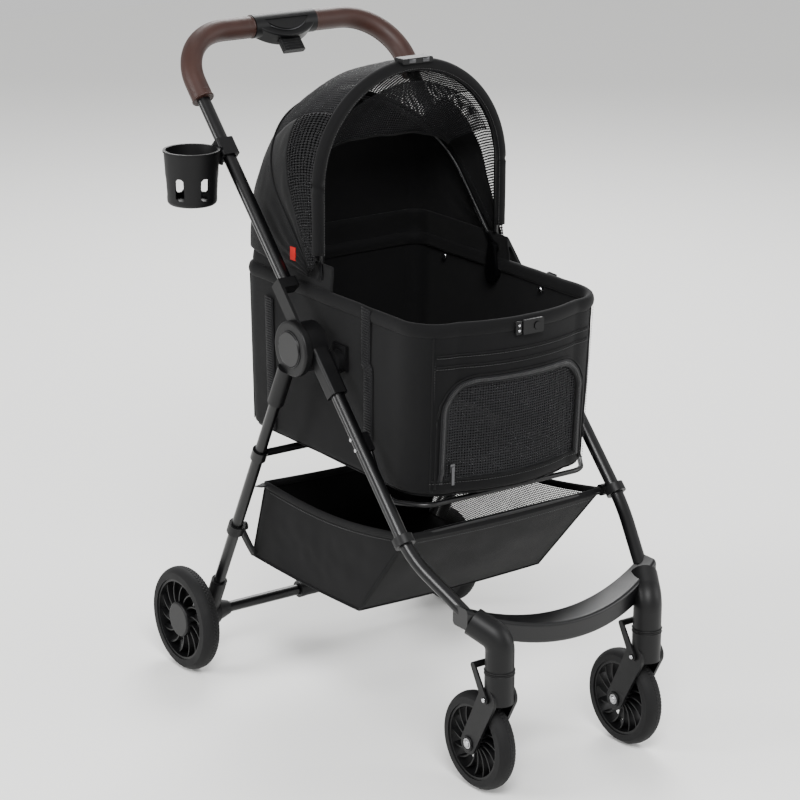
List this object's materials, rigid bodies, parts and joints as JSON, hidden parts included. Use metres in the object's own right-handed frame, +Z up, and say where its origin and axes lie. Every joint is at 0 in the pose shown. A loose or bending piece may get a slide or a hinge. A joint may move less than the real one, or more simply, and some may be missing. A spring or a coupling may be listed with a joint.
{
  "type": "pet stroller",
  "caption": "Folding pet stroller: lift-off fabric carrier with an arched hood, shopping basket, cup holder, swivelling lockable front castors, rear brake and looped leather-grip handle.",
  "frame": {"origin": "on the floor in the stroller's middle plane, 300 mm ahead of the rear axle and 330 mm behind the front one", "axes": "+Z up, -Y the front (castor end), +Y the handle end, X across with the frame symmetric about X = 0; the cup holder is on the -X arm"},
  "size_m": [0.5832, 0.8269, 1.0361],
  "materials": {
    "frame_steel": "satin black powder coat on steel and aluminium tube",
    "moulded_black": "fine-grained moulded nylon",
    "satin_black": "smooth satin moulding",
    "cup_plastic": "matte polypropylene",
    "leather_brown": "dark brown stitched synthetic leather",
    "tyre_rubber": "knurled foam rubber",
    "wheel_plastic": "moulded wheel plastic",
    "zinc_steel": "bright zinc plated steel",
    "carrier_fabric": "tight woven black polyester",
    "hood_mesh": "open black polyester mesh with woven binding",
    "basket_fabric": "black woven polyester with bound hems",
    "mat_fabric": "quilted black mat"
  },
  "bodies": {
    "front_frame": {"front_leg_left": "frame_steel", "front_leg_right": "frame_steel", "hub_sleeves": "moulded_black", "hub_pins": "zinc_steel", "footrest": "satin_black", "castor_elbows": "moulded_black", "carrier_cradle": "frame_steel", "basket": "basket_fabric", "basket_rod": "frame_steel", "front_brackets": "moulded_black", "frame_rivets": "zinc_steel"},
    "handle": {"handle_tube": "frame_steel", "grip_left": "leather_brown", "grip_right": "leather_brown", "handle_housing": "moulded_black", "handle_sleeves": "moulded_black", "cup_clamp": "moulded_black", "cup_holder": "cup_plastic"},
    "fold_trigger": {"fold_trigger": "moulded_black"},
    "lock_button": {"lock_button": "moulded_black"},
    "rear_legs": {"rear_leg_left": "frame_steel", "rear_leg_right": "frame_steel", "rear_hubs": "moulded_black", "hub_caps": "satin_black", "rear_crossbar": "frame_steel", "axle_housings": "moulded_black", "axle_tube": "frame_steel", "wheel_axles": "zinc_steel", "rear_rings": "moulded_black", "brake_brackets": "moulded_black"},
    "brake_pedal": {"brake_pedal": "moulded_black"},
    "carrier": {"carrier_shell": "carrier_fabric", "carrier_mat": "mat_fabric", "carrier_clips": "moulded_black", "carrier_latch": "moulded_black", "hood_brackets": "frame_steel", "hood_rear_cover": "carrier_fabric"},
    "latch_button": {"latch_button": "moulded_black"},
    "zip_slider": {"zip_slider": "zinc_steel"},
    "hood_mid": {"hood_mid_bow": "frame_steel", "hood_mid_cover": "hood_mesh"},
    "hood_front": {"hood_front_bow": "frame_steel", "hood_front_cover": "carrier_fabric", "hood_latch": "moulded_black"},
    "rear_wheel_left": {"rear_tyre_left": "tyre_rubber", "rear_rim_left": "wheel_plastic", "wheel_cap_left": "wheel_plastic"},
    "castor_left": {"castor_fork_left": "moulded_black", "castor_bolt_left": "zinc_steel"},
    "castor_lock_left": {"castor_lock_left": "moulded_black"},
    "front_wheel_left": {"front_tyre_left": "tyre_rubber", "front_rim_left": "wheel_plastic"},
    "rear_wheel_right": {"rear_tyre_right": "tyre_rubber", "rear_rim_right": "wheel_plastic", "wheel_cap_right": "wheel_plastic"},
    "castor_right": {"castor_fork_right": "moulded_black", "castor_bolt_right": "zinc_steel"},
    "castor_lock_right": {"castor_lock_right": "moulded_black"},
    "front_wheel_right": {"front_tyre_right": "tyre_rubber", "front_rim_right": "wheel_plastic"}
  },
  "joints": [
    {"name": "handle_fold", "type": "hinge", "parent": "front_frame", "child": "handle", "pos_m": [0, 0.033, 0.601], "axis": [1, 0, 0], "range_deg": [0, 135]},
    {"name": "rear_leg_fold", "type": "hinge", "parent": "front_frame", "child": "rear_legs", "pos_m": [0, 0.033, 0.601], "axis": [-1, 0, 0], "range_deg": [0, 45]},
    {"name": "fold_trigger_pull", "type": "slide", "parent": "handle", "child": "fold_trigger", "axis": [0, 0.6909, 0.723], "range_m": [0, 0.006], "stiffness_N_per_m": 900},
    {"name": "lock_button_press", "type": "slide", "parent": "handle", "child": "lock_button", "axis": [0, 0.723, -0.6909], "range_m": [0, 0.003], "stiffness_N_per_m": 700},
    {"name": "brake_pedal_press", "type": "hinge", "parent": "rear_legs", "child": "brake_pedal", "pos_m": [0, 0.3, 0.0854], "axis": [-1, 0, 0], "range_deg": [0, 20]},
    {"name": "carrier_lift", "type": "slide", "parent": "front_frame", "child": "carrier", "axis": [0, 0, 1], "range_m": [0, 0.15]},
    {"name": "latch_button_press", "type": "slide", "parent": "carrier", "child": "latch_button", "axis": [0, 1, 0], "range_m": [0, 0.0025], "stiffness_N_per_m": 500},
    {"name": "zip_slider_run", "type": "slide", "parent": "carrier", "child": "zip_slider", "axis": [0, -0.0449, 0.999], "range_m": [0, 0.075]},
    {"name": "hood_mid_turn", "type": "hinge", "parent": "carrier", "child": "hood_mid", "pos_m": [0, 0.045, 0.698], "axis": [1, 0, 0], "range_deg": [0, 20]},
    {"name": "hood_front_turn", "type": "hinge", "parent": "hood_mid", "child": "hood_front", "pos_m": [0, 0.045, 0.698], "axis": [1, 0, 0], "range_deg": [-22, 70]},
    {"name": "rear_wheel_spin_left", "type": "hinge", "parent": "rear_legs", "child": "rear_wheel_left", "pos_m": [-0.261, 0.3, 0.0854], "axis": [1, 0, 0], "continuous": true},
    {"name": "castor_swivel_left", "type": "hinge", "parent": "front_frame", "child": "castor_left", "pos_m": [-0.1395, -0.375, 0.15], "axis": [0, 0, 1], "continuous": true},
    {"name": "castor_lock_flip_left", "type": "hinge", "parent": "castor_left", "child": "castor_lock_left", "pos_m": [-0.1395, -0.372, 0.16], "axis": [-1, 0, 0], "range_deg": [0, 30]},
    {"name": "front_wheel_spin_left", "type": "hinge", "parent": "castor_left", "child": "front_wheel_left", "pos_m": [-0.1395, -0.33, 0.075], "axis": [1, 0, 0], "continuous": true},
    {"name": "rear_wheel_spin_right", "type": "hinge", "parent": "rear_legs", "child": "rear_wheel_right", "pos_m": [0.261, 0.3, 0.0854], "axis": [1, 0, 0], "continuous": true},
    {"name": "castor_swivel_right", "type": "hinge", "parent": "front_frame", "child": "castor_right", "pos_m": [0.1395, -0.375, 0.15], "axis": [0, 0, 1], "continuous": true},
    {"name": "castor_lock_flip_right", "type": "hinge", "parent": "castor_right", "child": "castor_lock_right", "pos_m": [0.1395, -0.372, 0.16], "axis": [-1, 0, 0], "range_deg": [0, 30]},
    {"name": "front_wheel_spin_right", "type": "hinge", "parent": "castor_right", "child": "front_wheel_right", "pos_m": [0.1395, -0.33, 0.075], "axis": [1, 0, 0], "continuous": true}
  ],
  "couplings": [
    {"joint": "rear_leg_fold", "follows": "handle_fold", "ratio": 0.33333}
  ]
}
